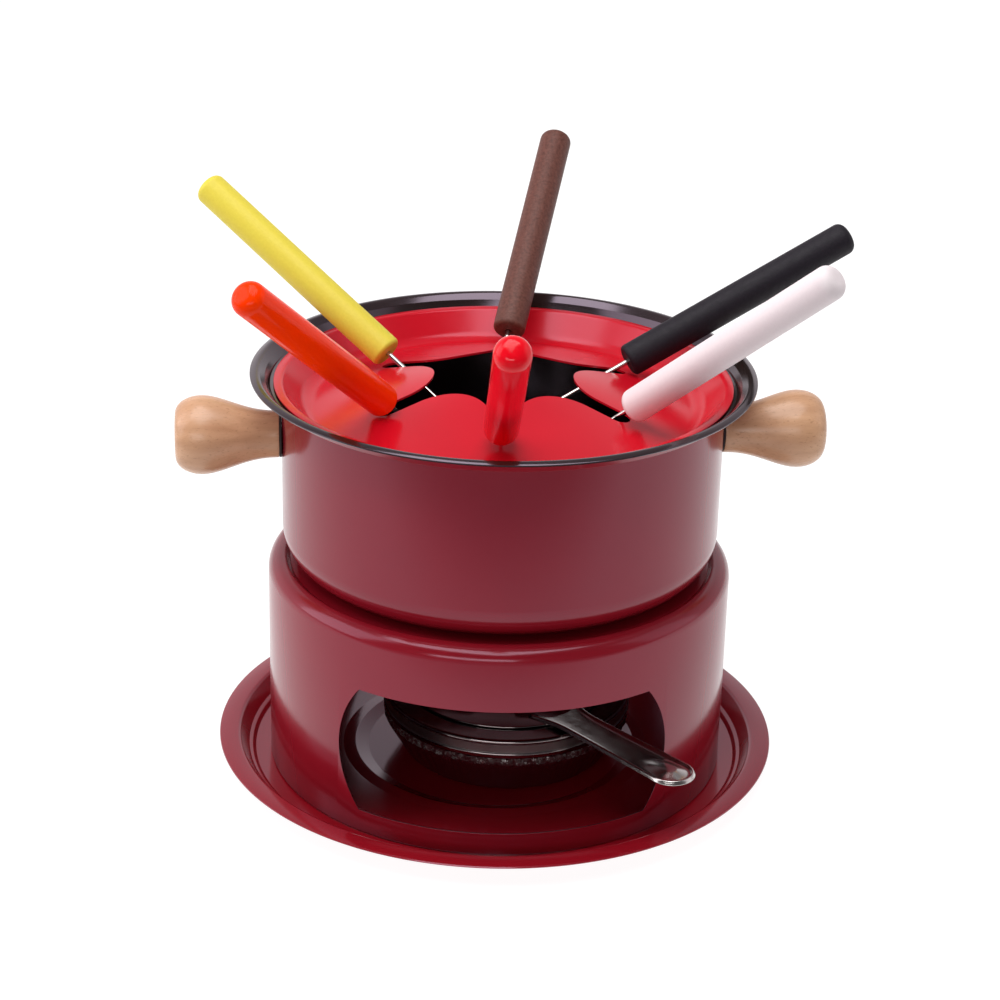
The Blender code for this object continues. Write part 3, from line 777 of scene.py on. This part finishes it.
def add_light(name, at, target, size, power, colour=(1, 1, 1)):
    data = bpy.data.lights.new(name, "AREA")
    data.shape, data.size, data.size_y = "RECTANGLE", size[0], size[1]
    data.energy, data.color = power, colour
    lamp = bpy.data.objects.new(name, data)
    lamp.location = at
    lamp.rotation_mode = "QUATERNION"
    lamp.rotation_quaternion = (Vector(target) - Vector(at)).to_track_quat("-Z", "Y")
    bpy.context.scene.collection.objects.link(lamp)


def tent():
    """A white tent: bright around and behind the set, dimmer overhead, in front and on the right."""
    world = bpy.data.worlds.new("studio")
    world.use_nodes = True
    nodes, links = world.node_tree.nodes, world.node_tree.links
    split = nodes.new("ShaderNodeSeparateXYZ")
    links.new(nodes.new("ShaderNodeTexCoord").outputs["Generated"], split.inputs["Vector"])
    shares = []
    for axis, low, high, start, end in (("Y", -0.6, 0.2, 0.15, 1.0), ("Z", 0.3, 0.75, 0.9, 0.35),
                                        ("X", 0.0, 0.9, 1.0, 0.6)):
        share = nodes.new("ShaderNodeMapRange")
        for key, value in zip(("From Min", "From Max", "To Min", "To Max"), (low, high, start, end)):
            share.inputs[key].default_value = value
        links.new(split.outputs[axis], share.inputs["Value"])
        shares.append(share.outputs["Result"])
    strength = shares[0]
    for share in shares[1:]:
        product = nodes.new("ShaderNodeMath")
        product.operation = "MULTIPLY"
        links.new(strength, product.inputs[0])
        links.new(share, product.inputs[1])
        strength = product.outputs[0]
    links.new(strength, nodes["Background"].inputs["Strength"])
    nodes["Background"].inputs["Color"].default_value = (1, 0.94, 0.97, 1)
    return world


def add_studio():
    add_floor()
    add_light("top_softbox", (-0.15, -0.22, 1.5), (0, 0, 0.1), (1.3, 1.2), 20)
    add_light("front_softbox", (-0.4, -2.1, 0.7), (0, 0, 0.1), (1.5, 0.5), 9)
    add_light("left_softbox", (-1.3, -0.1, 0.8), (0, 0, 0.1), (1.1, 1.2), 8, (1, 0.93, 0.98))
    add_light("right_softbox", (1.4, 0.0, 0.75), (0, 0, 0.1), (1.0, 1.2), 2, (1, 0.94, 0.98))
    bpy.context.scene.world = tent()
    bpy.context.scene.view_settings.view_transform = "Standard"


CAMERA_AT, CAMERA_LENS, CAMERA_SENSOR = (0, -0.86642, 0.47355), 87.95, 36.0
CAMERA_PITCH, CAMERA_YAW, CAMERA_ROLL = 0.4007, -0.0003, 0.0255


def add_camera():
    pitch, yaw, roll = CAMERA_PITCH, CAMERA_YAW, CAMERA_ROLL
    forward = Vector((math.sin(yaw) * math.cos(pitch), math.cos(yaw) * math.cos(pitch),
                      -math.sin(pitch)))
    right = Vector((math.cos(yaw), -math.sin(yaw), 0))
    up = right.cross(forward)
    x = right * math.cos(roll) + up * math.sin(roll)
    y = up * math.cos(roll) - right * math.sin(roll)
    data = bpy.data.cameras.new("camera")
    data.lens, data.sensor_width = CAMERA_LENS, CAMERA_SENSOR
    camera = bpy.data.objects.new("camera", data)
    turn = Matrix((x, y, -forward)).transposed()
    camera.matrix_world = Matrix.Translation(CAMERA_AT) @ turn.to_4x4()
    bpy.context.scene.collection.objects.link(camera)
    bpy.context.scene.camera = camera


# ---------------------------------------------------------------- build

crimson_paint = enamel("crimson_enamel", (0.24, 0.007, 0.015), (0.22, 0.006, 0.014), 0.16, 0.5)
scarlet_paint = enamel("scarlet_enamel", (0.58, 0.005, 0.016), (0.54, 0.004, 0.014), 0.19, 0.42)
inner_paint = (enamel("inner_enamel", (0.075, 0.004, 0.007), (0.06, 0.003, 0.006), 0.2, 0.8),
               enamel("inner_enamel_thin", (0.085, 0.003, 0.005), (0.07, 0.002, 0.004), 0.5, 0.15))
tray_paint = enamel("tray_enamel", (0.27, 0.006, 0.013), (0.25, 0.005, 0.012), 0.13, 0.9)
burner_paint = enamel("burner_enamel", (0.055, 0.005, 0.007), (0.045, 0.004, 0.006), 0.2, 0.7)
black_paint = enamel("black_enamel", (0.016, 0.009, 0.007), (0.011, 0.007, 0.006), 0.14, 0.9)
band_steel = turned_steel("band_steel", (0.36, 0.32, 0.32), 0.33, (BURNER_X, 0.0))
# darker, reddish steel tone: painted reflection of the stand's dark red interior, used on the cover top and
# the regulator disc
red_reflection_steel = turned_steel("red_reflection_steel", (0.30, 0.25, 0.25), 0.12, (BURNER_X, 0.0))
lever_steel = steel("lever_steel", (0.60, 0.57, 0.55), 0.2)
fork_steel = steel("fork_steel", (0.66, 0.65, 0.63), 0.12)
beech_paint = {"left": wood("beech_left", -KNOB_TURN, 0.0), "right": wood("beech_right", -KNOB_TURN, 0.3)}
# near-black washer colour: painted shade of the thin gap between each knob and the pot wall
gap_shade_washer = plastic("washer_dark", (0.03, 0.02, 0.018), (0.015, 0.01, 0.01), 0.7, 1.0)
handle_paints = {
    "yellow": plastic("yellow_plastic", (0.76, 0.64, 0.06), (0.72, 0.60, 0.05), 0.5, 1.0),
    "orange": plastic("orange_plastic", (1.0, 0.045, 0.0), (0.98, 0.038, 0.0), 0.16, 0.05, 0.12),
    "red": plastic("red_plastic", (0.86, 0.003, 0.014), (0.82, 0.003, 0.012), 0.13, 0.05, 0.3),
    "white": plastic("white_plastic", (0.82, 0.745, 0.755), (0.80, 0.72, 0.735), 0.45, 0.5),
    "black": plastic("black_plastic", (0.010, 0.006, 0.012), (0.006, 0.004, 0.008), 0.6, 2.0, 0.3),
    "brown": plastic("brown_plastic", (0.155, 0.052, 0.036), (0.085, 0.025, 0.016), 0.5, 3.0, 0.35),
}

add_tray(tray_paint)
add_stand(crimson_paint, inner_paint)
add_bowl(burner_paint, seam_metal("crimped_seam"))
add_cover(red_reflection_steel, band_steel)
add_regulator(red_reflection_steel, lever_steel)
add_pot(crimson_paint, black_paint)
add_knobs(beech_paint, gap_shade_washer)
add_ring(scarlet_paint)
add_forks(handle_paints, fork_steel)
for node, paint in (("fuel_pad", felt("fuel_felt")), ("wire_gauze", woven_wire("wire_gauze")),
                    ("handle_stud_left", fork_steel), ("handle_stud_right", fork_steel)):
    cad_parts[node].material_slots[0].material = paint
add_studio()
add_camera()
